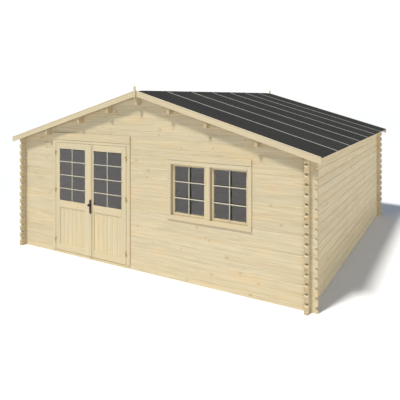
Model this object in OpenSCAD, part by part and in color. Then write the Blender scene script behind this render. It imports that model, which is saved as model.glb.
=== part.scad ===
// Garden shed of interlocking wall logs, with a low gable roof,
// a pair of part-glazed doors and a two-light window in the front gable wall.
// Millimetres. +Z up, X to the right along the front, the front looks to -Y.
// Origin: centre of the plan, on the ground.

/* [Walls] */
// Height of one wall log from joint to joint
log_h = 120; // [116:1:124]
// Thickness of the wall logs
log_t = 44; // [38:1:46]
// Width of the building over the outer faces of the side walls
wall_w = 5170; // [5150:10:5400]
// Depth of the building over the outer faces of the front and back walls
wall_d = 5170; // [4800:10:5400]
// How far a log end runs out past the wall it crosses
log_end = 96; // [60:1:98]
// How far in from the log ends the hollow at each joint reaches
end_round_d = 44; // [30:1:50]
// Height of that hollow above and below the joint, at the log ends
end_round_h = 26; // [20:1:32]
// Chamfer along the long edges of a log
log_chamfer = 3.5; // [3:0.5:8]
// Width of the tongue on top of a log
tongue_w = 16; // [12:0.5:18]
// Height of the tongue on top of a log
tongue_h = 9; // [6:0.5:10]
// Depth of the groove under a log
groove_d = 20; // [14:0.5:22]

/* [Roof] */
// Height of the top of the verge strips at the ridge
ridge_z = 2712; // [2700:1:2725]
// Slope of the roof, degrees
roof_pitch = 16.3; // [16.1:0.1:16.5]
// Overhang of the roof past the side walls
eave_out = 170; // [150:1:200]
// Overhang of the bargeboards past the front and back walls
verge_out = 118; // [116:1:140]
// Thickness of the roof boards
roof_board_t = 18; // [16:1:20]
// Thickness of the roofing felt
felt_t = 4; // [3:0.5:5]
// Height of a bargeboard, square to the slope
barge_h = 78; // [70:1:100]
// Thickness of bargeboards and eave strips
barge_t = 18; // [16:1:20]
// Height of the strips along the eaves
eave_board_h = 24; // [20:1:40]
// Thickness of the strip that covers the felt edge along the verge
strip_t = 6; // [5:0.5:10]
// Width of that strip
strip_w = 24; // [22:1:50]
// Width of a purlin
purlin_w = 45; // [40:1:50]
// Depth of a side purlin
purlin_h = 150; // [135:1:160]
// Depth of the ridge purlin
ridge_purlin_h = 190; // [170:1:200]

/* [Doors] */
// Where the two leaves meet, along the front
door_x = -1011; // [-1060:1:-1000]
// Width of one leaf
leaf_w = 752; // [700:1:760]
// Gap between the two leaves
leaf_gap = 8; // [8:0.5:12]
// Height of the underside of the leaves
leaf_z0 = 52; // [52:1:56]
// Height of the top of the leaves
leaf_z1 = 1850; // [1840:1:1850]
// Thickness of a leaf
leaf_t = 40; // [38:1:44]
// Width of the stiles
stile_w = 90; // [80:1:100]
// Height of the underside of the glass in a leaf
door_glass_z0 = 886; // [870:1:900]
// Height of the top of the glass in a leaf
door_glass_z1 = 1750; // [1730:1:1760]
// Height of the underside of the boarded panel
panel_z0 = 147; // [130:1:160]
// Height of the top of the boarded panel
panel_z1 = 772; // [750:1:790]
// Running gap between a leaf and its frame
run_gap = 6; // [6:0.5:8]
// Width of the face trim beside the doors
door_trim_w = 66; // [55:1:75]
// Height of the board over the doors
door_head_trim_h = 120; // [90:1:125]

/* [Window] */
// Middle of the window along the front
win_x = 1162; // [1150:1:1180]
// Width between the window's outer jambs
win_w = 1200; // [1170:1:1210]
// Height of the top of the window's bottom rail
win_z0 = 921; // [910:1:930]
// Height of the underside of the window's head
win_z1 = 1655; // [1645:1:1670]
// Width of the middle post
mullion_w = 81; // [60:1:100]
// Width of the sash stiles
sash_w = 32; // [28:1:50]
// Height of the sash rails
sash_rail = 28; // [24:1:45]
// Width of the face trim beside the window
win_trim_w = 60; // [45:1:65]

/* [Floor] */
// Thickness of the floor boards
floor_t = 19; // [16:1:21]
// Height of the floor bearers
bearer_h = 38; // [34:1:40]

/* [Hidden] */
$fn = 48;
eps = 0.3;                       // play in the corner notches
gap = 0.6;                       // play between stacked logs
face_t = 16;                     // how far the face trim stands off the wall
hw = wall_w/2;
hd = wall_d/2;
yf = -hd;                        // outer face of the front wall
xe = hw + eave_out;              // eave edge
ye = hd + verge_out;             // outer face of the bargeboards
slope = tan(roof_pitch);
cs = cos(roof_pitch);
z_strip = ridge_z;               // apex heights of the roof's layers
z_felt = z_strip - strip_t/cs;
z_deck = z_felt - felt_t/cs;
z_under = z_deck - roof_board_t/cs;
lay = 0.3;                       // play between the roof's layers
strip_out = 4;                   // how far the verge strip stands past the bargeboard
barge_in = 1;                    // how far bargeboards stop short of the eave edge
purlin_x = [-1918, -1174, -570, 570, 1174, 1918];
// course i of the front and back walls: a half log, then whole logs
function fz0(i) = i == 0 ? 0 : log_h*(i - 0.5);
function fz1(i) = log_h*(i + 0.5);
// where a gable course ends: at its feather edge, or at a purlin close to it
function gable_end(i) = let (f = (z_under - fz0(i))/slope,
  c = [for (p = purlin_x) if (p > 0 && f > p && f - p - purlin_w/2 < 80) p])
  len(c) > 0 ? c[0] : min(f + 50, hw + log_end);
last_low = 15;                   // last course below the gable
last_top = 22;                   // course at the ridge
side_n = 16;                     // courses in a side wall
// doors
leaf_l0 = door_x - leaf_gap/2 - leaf_w;
leaf_l1 = door_x - leaf_gap/2;
leaf_r0 = door_x + leaf_gap/2;
leaf_r1 = door_x + leaf_gap/2 + leaf_w;
jamb_l = leaf_l0 - run_gap;      // inner faces of the jambs
jamb_r = leaf_r1 + run_gap;
jamb_t = 38;
leaf_y = yf - face_t;            // outer face of the leaves
leaf_yb = leaf_y + leaf_t;       // inner face of the leaves
stop_y = leaf_yb + run_gap;      // the rebate stop behind the leaves
frame_yb = yf + 65;              // inner face of the door frame
head_z0 = leaf_z1 + run_gap;
head_z1 = head_z0 + 38;
rough_dl = jamb_l - jamb_t - 2;
rough_dr = jamb_r + jamb_t + 2;
hinge_y = leaf_y - 8;
hinge_zs = [218, 1047, 1674];
hinge_r = 7.5;
pin_r = 3.5;
lock_x = leaf_r0 + 34;
knob_z = 889;
astragal_t = 14;
// window
win_l = win_x - win_w/2;
win_r = win_x + win_w/2;
win_jt = 36;
rough_wl = win_l - win_jt - 2;
rough_wr = win_r + win_jt + 2;
rough_wz0 = win_z0 - 52;
rough_wz1 = win_z1 + 57;
win_yb = yf + 80;                // inner face of the window's frame
sash_y = yf + 34;
sash_t = 40;
sash_g = 3;

wood = [0.86, 0.79, 0.65];
wood_b = [0.82, 0.74, 0.58];
wood_trim = [0.90, 0.83, 0.68];

// ---- shared shapes ----------------------------------------------------
// box from its two corners
module bx(a, b) { translate(a) cube([b[0] - a[0], b[1] - a[1], b[2] - a[2]]); }

// cross-section of a log: chamfered edges, a tongue above, a groove below
module log_profile(h, tongue = true, groove = true) {
  c = log_chamfer; t = log_t/2; w = tongue_w/2; g = w + 0.6;
  polygon(concat(
    groove ? [[-t, c], [-t + c, 0], [-g, 0], [-g, groove_d], [g, groove_d], [g, 0], [t - c, 0], [t, c]]
           : [[-t, 0], [t, 0]],
    [[t, h - c], [t - c, h]],
    tongue ? [[w, h], [w, h + tongue_h], [-w, h + tongue_h], [-w, h]] : [],
    [[-t + c, h], [-t, h - c]]));
}
// a log along X, on the middle line y, from z0 to z1
module xlog(x0, x1, y, z0, z1, tongue = true) {
  translate([x0, y, z0 + (z0 > 0 ? gap/2 : 0)]) rotate([90, 0, 90])
    linear_extrude(x1 - x0)
      log_profile(z1 - z0 - (z0 > 0 ? gap : gap/2), tongue, z0 > 0);
}
// a log along Y, on the middle line x, from z0 to z1
module ylog(y0, y1, x, z0, z1, tongue = true) {
  translate([x, y1, z0 + (z0 > 0 ? gap/2 : 0)]) rotate([90, 0, 0])
    linear_extrude(y1 - y0)
      log_profile(z1 - z0 - (z0 > 0 ? gap : gap/2), tongue, z0 > 0);
}
// room under the roof boards
module below_roof(drop = 0.5) {
  z = z_under - drop;
  translate([0, 3000, 0]) rotate([90, 0, 0]) linear_extrude(6000)
    polygon([[-3200, -50], [3200, -50], [3200, z - slope*3200], [0, z], [-3200, z - slope*3200]]);
}
// corner notches in the front (side = -1) and back (side = 1) walls
module x_notches(side) {
  for (sx = [-1, 1], k = [0:side_n])
    translate([sx*(hw - log_t/2), side*(hd - log_t/2), log_h*(k + 0.5)])
      cube([log_t + 2*eps, log_t + 20, log_h/2 + 2*eps], center = true);
}
// corner notches in the left (side = -1) and right (side = 1) walls
module y_notches(side) {
  for (sy = [-1, 1], k = [0:side_n])
    translate([side*(hw - log_t/2), sy*(hd - log_t/2), log_h*k])
      cube([log_t + 20, log_t + 2*eps, log_h/2 + 2*eps], center = true);
}
// outline of the hollow between two log ends that lie one on the other
module end_hollow(s) {
  n = 6; a = end_round_d; b = end_round_h;
  q = [for (i = [0:n]) [-s*a*i/n, b*pow(1 - i/n, 1.3)]];
  polygon(concat([for (i = [0:n]) q[i]], [for (i = [n - 1:-1:0]) [q[i][0], -q[i][1]]], [[s*5, -b - 1.5], [s*5, b + 1.5]]));
}
// those hollows at the ends of the front (side = -1) and back (side = 1) walls
module x_end_hollows(side) {
  for (sx = [-1, 1], k = [0:side_n])
    translate([sx*(hw + log_end), side*(hd - log_t/2) + log_t, log_h*(k + 0.5)]) rotate([90, 0, 0])
      linear_extrude(2*log_t) end_hollow(sx);
}
// and at the ends of the left (side = -1) and right (side = 1) walls
module y_end_hollows(side) {
  for (sy = [-1, 1], k = [1:side_n - 1])
    translate([side*(hw - log_t/2) - log_t, sy*(hd + log_end), log_h*k]) rotate([90, 0, 90])
      linear_extrude(2*log_t) end_hollow(sy);
}
// holes for the purlins through a gable
module purlin_holes(side) {
  for (x = purlin_x)
    translate([x, side*(hd - log_t/2), z_under - slope*abs(x) - purlin_h + 200])
      cube([purlin_w + 2, log_t + 20, 402], center = true);
  translate([0, side*(hd - log_t/2), z_under - ridge_purlin_h + 200])
    cube([purlin_w + 2, log_t + 20, 402], center = true);
}
// courses i0..i1 of the front or back wall between x0 and x1
module x_courses(side, x0, x1, i0, i1, top_tongue = true) {
  for (i = [i0:i1]) xlog(x0, x1, side*(hd - log_t/2), fz0(i), fz1(i), i < i1 || top_tongue);
}
module gable_logs(side) {
  difference() {
    intersection() {
      for (i = [last_low + 1:last_top])
        xlog(-gable_end(i), gable_end(i), side*(hd - log_t/2), fz0(i), fz1(i));
      below_roof();
    }
    x_notches(side);
    x_end_hollows(side);
    purlin_holes(side);
    if (side < 0)
      bx([rough_dl, yf - 30, fz0(last_low + 1) - 30], [rough_dr, yf + log_t + 30, head_z1 + 2]);
  }
}
module side_wall(side) {
  difference() {
    intersection() {
      for (j = [0:side_n - 1])
        ylog(-hd - log_end, hd + log_end, side*(hw - log_t/2), log_h*j,
             log_h*(j + 1) + (j == side_n - 1 ? 60 : 0), j < side_n - 1);
      below_roof();
    }
    y_notches(side);
    y_end_hollows(side);
  }
}
// flat layer of one roof slope, between apex heights za (under) and zb (over)
module slope_slab(side, za, zb, x1, y1) {
  s = side;
  translate([0, y1, 0]) rotate([90, 0, 0]) linear_extrude(2*y1)
    polygon(s > 0 ? [[0.2, za - slope*0.2], [x1, za - slope*x1], [x1, zb - slope*x1], [0.2, zb - slope*0.2]]
                  : [[-0.2, za - slope*0.2], [-0.2, zb - slope*0.2], [-x1, zb - slope*x1], [-x1, za - slope*x1]]);
}
// board along a verge, between apex heights za and zb, from y0 to y1
module verge_piece(side, za, zb, y0, y1, x1) {
  translate([0, y1, 0]) rotate([90, 0, 0]) linear_extrude(y1 - y0)
    polygon(side > 0 ? [[0.2, za], [x1, za - slope*x1], [x1, zb - slope*x1], [0.2, zb]]
                     : [[-0.2, za], [-0.2, zb], [-x1, zb - slope*x1], [-x1, za - slope*x1]]);
}
// hinge half: barrel and flag plate; up = the half on the leaf
module hinge_half(x, dir, z, up) {
  h = 34.5;
  z0 = up ? z + 0.5 : z - 0.5 - h;
  difference() {
    union() {
      translate([x, hinge_y, z0]) cylinder(r = hinge_r, h = h);
      bx([min(x, x + dir*24), leaf_y - 3, z0 + 2], [max(x, x + dir*24), leaf_y, z0 + h - 2]);
    }
    if (up) translate([x, hinge_y, z0 - 1]) cylinder(r = pin_r + 0.1, h = h + 2);
  }
  if (!up) translate([x, hinge_y, z0 + h - 0.01]) cylinder(r = pin_r, h = 30);
}

// ---- walls --------------------------------------------------------------
module front_logs_left() color(wood) difference() {
  x_courses(-1, -hw - log_end, rough_dl, 0, last_low);
  x_notches(-1);
  x_end_hollows(-1);
}
module front_logs_under_window() color(wood) difference() {
  x_courses(-1, rough_dr, hw + log_end, 0, 7);
  x_notches(-1);
  x_end_hollows(-1);
  bx([rough_wl, yf - 30, rough_wz0], [rough_wr, yf + log_t + 30, rough_wz0 + 200]);
}
module front_logs_pier() color(wood) x_courses(-1, rough_dr, rough_wl, 8, 13);
module front_logs_right() color(wood) difference() {
  x_courses(-1, rough_wr, hw + log_end, 8, 13);
  x_notches(-1);
  x_end_hollows(-1);
}
module front_logs_over_window() color(wood) difference() {
  x_courses(-1, rough_dr, hw + log_end, 14, last_low);
  x_notches(-1);
  x_end_hollows(-1);
  bx([rough_wl, yf - 30, rough_wz1 - 300], [rough_wr, yf + log_t + 30, rough_wz1]);
}
module front_gable_logs() color(wood) gable_logs(-1);
module left_wall_logs() color(wood) side_wall(-1);
module right_wall_logs() color(wood) side_wall(1);
module back_wall_logs() color(wood) difference() {
  x_courses(1, -hw - log_end, hw + log_end, 0, last_low);
  x_notches(1);
  x_end_hollows(1);
}
module back_gable_logs() color(wood) gable_logs(1);

// ---- roof ---------------------------------------------------------------
module roof_boards_left() color(wood_b) slope_slab(-1, z_under, z_deck, xe - 6 - barge_t - lay, ye - barge_t - lay);
module roof_boards_right() color(wood_b) slope_slab(1, z_under, z_deck, xe - 6 - barge_t - lay, ye - barge_t - lay);
module felt_left() color([0.25, 0.245, 0.235]) slope_slab(-1, z_deck + lay, z_felt - lay, xe, ye - barge_t - lay);
module felt_right() color([0.25, 0.245, 0.235]) slope_slab(1, z_deck + lay, z_felt - lay, xe, ye - barge_t - lay);
module ridge_purlin() color(wood_b) intersection() {
  bx([-purlin_w/2, -ye + barge_t + lay, z_under - ridge_purlin_h], [purlin_w/2, ye - barge_t - lay, z_under + 100]);
  below_roof(lay);
}
module purlins() color(wood_b) intersection() {
  for (x = purlin_x)
    bx([x - purlin_w/2, -ye + barge_t + lay, z_under - slope*abs(x) - purlin_h],
       [x + purlin_w/2, ye - barge_t - lay, z_under - slope*abs(x) + 100]);
  below_roof(lay);
}
module bargeboards() color(wood_trim) for (s = [-1, 1], f = [-1, 1])
  verge_piece(s, z_felt - lay - barge_h/cs, z_felt - lay, f > 0 ? ye - barge_t : -ye, f > 0 ? ye : -ye + barge_t, xe - barge_in);
module verge_strips() color(wood_trim) for (s = [-1, 1], f = [-1, 1])
  verge_piece(s, z_felt, z_strip, f > 0 ? ye + strip_out - strip_w : -ye - strip_out,
              f > 0 ? ye + strip_out : -ye - strip_out + strip_w, xe - barge_in);
module eave_boards() color(wood_trim) for (s = [-1, 1]) {
  x0 = xe - 6 - barge_t; x1 = xe - 6; zt = z_deck;
  translate([0, ye - barge_t - lay, 0]) rotate([90, 0, 0]) linear_extrude(2*(ye - barge_t - lay))
    polygon(s > 0
      ? [[x0, zt - slope*x0 - eave_board_h], [x1, zt - slope*x0 - eave_board_h], [x1, zt - slope*x1], [x0, zt - slope*x0]]
      : [[-x1, zt - slope*x0 - eave_board_h], [-x0, zt - slope*x0 - eave_board_h], [-x0, zt - slope*x0], [-x1, zt - slope*x1]]);
}
module finials() color(wood_trim) for (f = [-1, 1])
  translate([0, f > 0 ? ye + strip_out + 16 : -ye - strip_out, 0]) rotate([90, 0, 0]) linear_extrude(16)
    polygon([[0, ridge_z - 123], [18, ridge_z - 95], [18, ridge_z + 44], [0, ridge_z + 72], [-18, ridge_z + 44], [-18, ridge_z - 95]]);

// ---- door frame -----------------------------------------------------------
module door_jambs() color(wood_b) {
  z0 = 46.5;
  translate([0, 0, z0]) linear_extrude(head_z0 - 0.3 - z0)
    polygon([[jamb_l - jamb_t, yf + 0.5], [jamb_l, yf + 0.5], [jamb_l, stop_y], [jamb_l + 20, stop_y],
             [jamb_l + 20, frame_yb], [jamb_l - jamb_t, frame_yb]]);
  translate([0, 0, z0]) linear_extrude(head_z0 - 0.3 - z0)
    polygon([[jamb_r + jamb_t, yf + 0.5], [jamb_r + jamb_t, frame_yb], [jamb_r - 20, frame_yb],
             [jamb_r - 20, stop_y], [jamb_r, stop_y], [jamb_r, yf + 0.5]]);
}
module door_head() color(wood_b) {
  bx([jamb_l + 0.5, leaf_y, head_z0], [jamb_r - 0.5, frame_yb, head_z1]);
  bx([jamb_l - jamb_t, yf + 0.5, head_z0], [jamb_r + jamb_t, frame_yb, head_z1]);
  bx([jamb_l + 20.5, stop_y, head_z0 - 20], [jamb_r - 20.5, frame_yb, head_z0 + 1]);
}
module door_threshold() color(wood_b) {
  bx([rough_dl + 1, yf - 5, 0], [rough_dr - 1, frame_yb, 46]);
  bx([jamb_l + 20.5, stop_y, 45], [jamb_r - 20.5, frame_yb, 66]);
}
module door_trim() color(wood_trim) {
  bx([jamb_l - door_trim_w, leaf_y, 46.5], [jamb_l, yf, head_z1 - 0.2]);
  bx([jamb_r, leaf_y, 46.5], [jamb_r + door_trim_w, yf, head_z1 - 0.2]);
  bx([jamb_l - door_trim_w, leaf_y - 4, head_z1 + 0.2],
     [jamb_r + door_trim_w, yf, head_z1 + 0.2 + door_head_trim_h]);
}
module jamb_hinges() color([0.60, 0.50, 0.32]) for (z = hinge_zs) {
  hinge_half(leaf_l0 - run_gap/2, -1, z, false);
  hinge_half(leaf_r1 + run_gap/2, 1, z, false);
}

// ---- door leaves ------------------------------------------------------------
module leaf_stiles(x0, x1) {
  bx([x0, leaf_y, leaf_z0], [x0 + stile_w, leaf_yb, leaf_z1]);
  bx([x1 - stile_w, leaf_y, leaf_z0], [x1, leaf_yb, leaf_z1]);
}
module leaf_rails(x0, x1) for (z = [[leaf_z0, panel_z0], [panel_z1, door_glass_z0], [door_glass_z1, leaf_z1]])
  bx([x0 + stile_w, leaf_y, z[0]], [x1 - stile_w, leaf_yb, z[1]]);
module leaf_panel(x0, x1)
  bx([x0 + stile_w, leaf_y + 12, panel_z0], [x1 - stile_w, leaf_yb - 12, panel_z1]);
module leaf_glass(x0, x1)
  bx([x0 + stile_w, leaf_y + 6, door_glass_z0], [x1 - stile_w, leaf_y + 10, door_glass_z1]);

module left_leaf_stiles() color(wood_trim) leaf_stiles(leaf_l0, leaf_l1);
module left_leaf_rails() color(wood_trim) leaf_rails(leaf_l0, leaf_l1);
module left_leaf_panel() color(wood) leaf_panel(leaf_l0, leaf_l1);
module left_leaf_glass() color([0.4, 0.39, 0.39, 0.5]) leaf_glass(leaf_l0, leaf_l1);
module left_leaf_hinges() color([0.60, 0.50, 0.32])
  for (z = hinge_zs) hinge_half(leaf_l0 - run_gap/2, 1, z, true);
module right_leaf_stiles() color(wood_trim) leaf_stiles(leaf_r0, leaf_r1);
module right_leaf_rails() color(wood_trim) leaf_rails(leaf_r0, leaf_r1);
module right_leaf_panel() color(wood) leaf_panel(leaf_r0, leaf_r1);
module right_leaf_glass() color([0.4, 0.39, 0.39, 0.5]) leaf_glass(leaf_r0, leaf_r1);
module right_leaf_hinges() color([0.60, 0.50, 0.32])
  for (z = hinge_zs) hinge_half(leaf_r1 + run_gap/2, -1, z, true);
module meeting_strip() color(wood_trim)
  bx([leaf_r0, leaf_y - astragal_t, leaf_z0 + 8], [leaf_r0 + 58, leaf_y, leaf_z1 - 8]);
// long plate with round ends, in the plane y0..y1
module long_plate(y0, y1) {
  translate([lock_x, y1, knob_z - 32]) rotate([90, 0, 0]) linear_extrude(y1 - y0) union() {
    square([46, 184], center = true);
    translate([0, 92]) circle(r = 23);
    translate([0, -92]) circle(r = 23);
  }
}
module lock_plates() color([0.16, 0.14, 0.13]) {
  long_plate(leaf_y - astragal_t - 3, leaf_y - astragal_t);
  long_plate(leaf_yb, leaf_yb + 3);
}
module door_knob() color([0.16, 0.14, 0.13])
  translate([lock_x, leaf_y - astragal_t - 3, knob_z]) rotate([90, 0, 0]) rotate_extrude()
    polygon([[0, 0], [15, 0], [15, 4], [9, 6], [9, 20], [14, 24], [21, 32], [22, 39], [20, 46], [14, 51], [0, 53]]);
module inside_lever() color([0.16, 0.14, 0.13]) {
  y0 = leaf_yb + 3.5;
  translate([lock_x, y0 + 46, knob_z]) rotate([90, 0, 0]) cylinder(r = 9, h = 46);
  bx([lock_x, y0 + 34, knob_z - 9], [lock_x + 112, y0 + 46, knob_z + 9]);
}

// ---- window -----------------------------------------------------------------
module window_jambs() color(wood_b) {
  bx([win_l - win_jt, yf + 0.5, rough_wz0 + 2], [win_l, win_yb, rough_wz1 - 2]);
  bx([win_r, yf + 0.5, rough_wz0 + 2], [win_r + win_jt, win_yb, rough_wz1 - 2]);
  bx([win_x - mullion_w/2, leaf_y, win_z0 + 0.5], [win_x + mullion_w/2, win_yb, win_z1 - 0.5]);
}
module window_rails() color(wood_b) {
  bx([win_l + 0.5, yf + 0.5, rough_wz0 + 2], [win_r - 0.5, win_yb, win_z0]);
  bx([win_l + 0.5, leaf_y, win_z1], [win_r - 0.5, win_yb, rough_wz1 - 2]);
}
module window_trim() color(wood_trim) {
  l = win_l - win_trim_w; r = win_r + win_trim_w; zt = rough_wz1 - 2;
  bx([l, leaf_y, win_z0], [win_l, yf, zt]);
  bx([win_r, leaf_y, win_z0], [r, yf, zt]);
  bx([l, leaf_y - 4, zt + 0.3], [r, yf, zt + 89]);
  bx([l, leaf_y - 4, win_z0 - 60], [r, yf, win_z0 - 0.3]);
}
sash_xs = [[win_l + sash_g, win_x - mullion_w/2 - sash_g], [win_x + mullion_w/2 + sash_g, win_r - sash_g]];
module sash_stiles() color(wood_trim) for (s = sash_xs) {
  bx([s[0], sash_y, win_z0 + sash_g], [s[0] + sash_w, sash_y + sash_t, win_z1 - sash_g]);
  bx([s[1] - sash_w, sash_y, win_z0 + sash_g], [s[1], sash_y + sash_t, win_z1 - sash_g]);
}
module sash_rails() color(wood_trim) for (s = sash_xs) {
  bx([s[0] + sash_w, sash_y, win_z0 + sash_g], [s[1] - sash_w, sash_y + sash_t, win_z0 + sash_g + sash_rail]);
  bx([s[0] + sash_w, sash_y, win_z1 - sash_g - sash_rail], [s[1] - sash_w, sash_y + sash_t, win_z1 - sash_g]);
}
module window_glass() color([0.4, 0.39, 0.39, 0.5]) for (s = sash_xs)
  bx([s[0] + sash_w, sash_y + 24, win_z0 + sash_g + sash_rail],
     [s[1] - sash_w, sash_y + 28, win_z1 - sash_g - sash_rail]);

// ---- floor ------------------------------------------------------------------
module floor_boards() color(wood_b)
  bx([-hw + log_t + 8, frame_yb + 8, bearer_h], [hw - log_t - 8, hd - log_t - 8, bearer_h + floor_t]);
module floor_bearers() color(wood_b) for (i = [0:6])
  translate([0, frame_yb + 8 + 30 + i*(hd - log_t - 8 - frame_yb - 8 - 60)/6, bearer_h/2])
    cube([2*(hw - log_t - 8), 58, bearer_h], center = true);

// ---- the parts --------------------------------------------------------------
front_logs_left();
front_logs_under_window();
front_logs_pier();
front_logs_right();
front_logs_over_window();
front_gable_logs();
left_wall_logs();
right_wall_logs();
back_wall_logs();
back_gable_logs();
roof_boards_left();
roof_boards_right();
felt_left();
felt_right();
ridge_purlin();
purlins();
bargeboards();
verge_strips();
eave_boards();
finials();
door_jambs();
door_head();
door_threshold();
door_trim();
jamb_hinges();
left_leaf_stiles();
left_leaf_rails();
left_leaf_panel();
left_leaf_glass();
left_leaf_hinges();
right_leaf_stiles();
right_leaf_rails();
right_leaf_panel();
right_leaf_glass();
right_leaf_hinges();
meeting_strip();
lock_plates();
door_knob();
inside_lever();
window_jambs();
window_rails();
window_trim();
sash_stiles();
sash_rails();
window_glass();
floor_boards();
floor_bearers();
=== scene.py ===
"""Looks of a log garden shed: spruce logs and boards, lapped roofing felt, glazed doors and window, dark fittings."""
import math
import random

import bpy
import numpy as np
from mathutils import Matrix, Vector


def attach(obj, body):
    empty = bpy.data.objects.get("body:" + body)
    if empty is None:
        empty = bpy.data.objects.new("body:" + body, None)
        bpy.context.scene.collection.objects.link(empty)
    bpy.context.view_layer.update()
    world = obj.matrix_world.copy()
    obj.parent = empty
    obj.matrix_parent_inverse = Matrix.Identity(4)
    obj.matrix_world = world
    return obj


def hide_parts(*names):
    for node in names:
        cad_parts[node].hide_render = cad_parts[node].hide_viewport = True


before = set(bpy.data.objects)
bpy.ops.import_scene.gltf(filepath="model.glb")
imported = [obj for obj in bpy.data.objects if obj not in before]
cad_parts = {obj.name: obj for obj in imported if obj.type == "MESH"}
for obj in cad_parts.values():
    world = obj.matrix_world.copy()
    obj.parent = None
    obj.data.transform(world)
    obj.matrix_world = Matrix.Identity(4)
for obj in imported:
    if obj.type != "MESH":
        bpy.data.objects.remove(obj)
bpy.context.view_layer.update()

rng = random.Random(4107)
MM = 0.001

# ---- sizes in millimetres, the same as the construction's ---------------------
LOG_H, LOG_T = 120.0, 44.0
HW = HD = 2585.0
YF = -HD
EAVE_OUT, VERGE_OUT = 170.0, 118.0
XE, YE = HW + EAVE_OUT, HD + VERGE_OUT
PITCH = math.radians(16.3)
SL, CS, SN = math.tan(PITCH), math.cos(PITCH), math.sin(PITCH)
STRIP_T, STRIP_W, FELT_T, DECK_T = 6.0, 24.0, 4.0, 18.0
BARGE_H, BARGE_T, EAVE_H, STRIP_OUT, BARGE_IN = 78.0, 18.0, 24.0, 4.0, 1.0
PURLIN_W, PURLIN_H, RIDGE_H = 45.0, 150.0, 190.0
PURLIN_X = (-1918.0, -1174.0, -570.0, 570.0, 1174.0, 1918.0)
Z_STRIP = 2712.0
Z_FELT = Z_STRIP - STRIP_T / CS
Z_DECK = Z_FELT - FELT_T / CS
Z_UNDER = Z_DECK - DECK_T / CS
LAY = 0.3
# doors
DOOR_X, LEAF_W, LEAF_GAP, RUN = -1011.0, 752.0, 8.0, 6.0
LEAF_Z0, LEAF_Z1, LEAF_T, STILE_W = 52.0, 1850.0, 40.0, 90.0
DG_Z0, DG_Z1, PAN_Z0, PAN_Z1 = 886.0, 1750.0, 147.0, 772.0
L0, L1 = DOOR_X - LEAF_GAP / 2 - LEAF_W, DOOR_X - LEAF_GAP / 2
R0, R1 = DOOR_X + LEAF_GAP / 2, DOOR_X + LEAF_GAP / 2 + LEAF_W
JL, JR, JT = L0 - RUN, R1 + RUN, 38.0
LEAF_Y = YF - 16.0
LEAF_YB = LEAF_Y + LEAF_T
STOP_Y, FRAME_YB = LEAF_YB + RUN, YF + 65.0
HEAD_Z0 = LEAF_Z1 + RUN
HEAD_Z1 = HEAD_Z0 + 38.0
ROUGH_DL, ROUGH_DR = JL - JT - 2.0, JR + JT + 2.0
TRIM_W, HEAD_TRIM = 66.0, 120.0
HINGE_Y, HINGE_ZS, HINGE_R = LEAF_Y - 8.0, (218.0, 1047.0, 1674.0), 7.5
LOCK_X, KNOB_Z, AST, AST_W = R0 + 34.0, 889.0, 14.0, 58.0
PLATE_Z, KEY_Z = KNOB_Z - 32.0, KNOB_Z - 81.0
# window
WX, WW, WZ0, WZ1, MUL = 1162.0, 1200.0, 921.0, 1655.0, 81.0
WL, WR, WJT = WX - WW / 2, WX + WW / 2, 36.0
RWZ0, RWZ1, WIN_YB = WZ0 - 52.0, WZ1 + 57.0, YF + 80.0
SASH_Y, SASH_T, SASH_G, SASH_W, SASH_R, WTRIM = YF + 34.0, 40.0, 3.0, 32.0, 28.0, 60.0
SASHES = ((WL + SASH_G, WX - MUL / 2 - SASH_G), (WX + MUL / 2 + SASH_G, WR - SASH_G))
# floor
FLOOR_T, BEARER_H = 19.0, 38.0


# ---- mesh tools ----------------------------------------------------------------
def unit(a):
    a = np.asarray(a, float)
    return a / np.linalg.norm(a)


class Piece:
    """A mesh of many closed solids. Each solid has its own grain frame and random number, for the wood."""

    def __init__(self, name):
        self.name = name
        self.v, self.f, self.gc, self.rnd, self.end, self.mark, self.smooth = [], [], [], [], [], [], []

    def add(self, verts, faces, grain=(1, 0, 0), side=(0, 1, 0), rnd=None, mark=0.0, smooth=False):
        verts = np.asarray(verts, float)
        g = unit(grain)
        s = np.asarray(side, float)
        s = unit(s - (s @ g) * g)
        n = np.cross(g, s)
        mid = (verts.min(0) + verts.max(0)) / 2
        rel = verts - mid
        base = len(self.v)
        r = rng.random() if rnd is None else rnd
        self.v.extend(verts.tolist())
        self.gc.extend(np.stack([rel @ g, rel @ s, rel @ n], 1).tolist())
        self.rnd.extend([r] * len(verts))
        self.mark.extend(list(mark) if hasattr(mark, "__len__") else [mark] * len(verts))
        for f in faces:
            p = verts[list(f)]
            q = np.roll(p, -1, 0)
            nn = np.cross(p, q).sum(0)
            ln = np.linalg.norm(nn)
            self.end.append(float(abs(nn @ g) / ln > 0.75) if ln > 0 else 0.0)
            self.f.append([base + i for i in f])
            self.smooth.append(smooth)
        return self

    def make(self, body, slot, material, *nodes, sharp=None):
        me = bpy.data.meshes.new(self.name)
        me.from_pydata((np.asarray(self.v) * MM).tolist(), [], self.f)
        me.attributes.new("gc", "FLOAT_VECTOR", "POINT").data.foreach_set(
            "vector", (np.asarray(self.gc, np.float32) * MM).ravel())
        me.attributes.new("rnd", "FLOAT", "POINT").data.foreach_set("value", np.asarray(self.rnd, np.float32))
        me.attributes.new("mark", "FLOAT", "POINT").data.foreach_set("value", np.asarray(self.mark, np.float32))
        me.attributes.new("end", "FLOAT", "FACE").data.foreach_set("value", np.asarray(self.end, np.float32))
        me.polygons.foreach_set("use_smooth", self.smooth)
        me.materials.append(material)
        me.validate()
        me.update()
        if sharp is not None:
            me.set_sharp_from_angle(angle=math.radians(sharp))
        ob = bpy.data.objects.new(self.name, me)
        bpy.context.scene.collection.objects.link(ob)
        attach(ob, body)
        if nodes:
            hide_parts(*nodes)
        return ob


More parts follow.
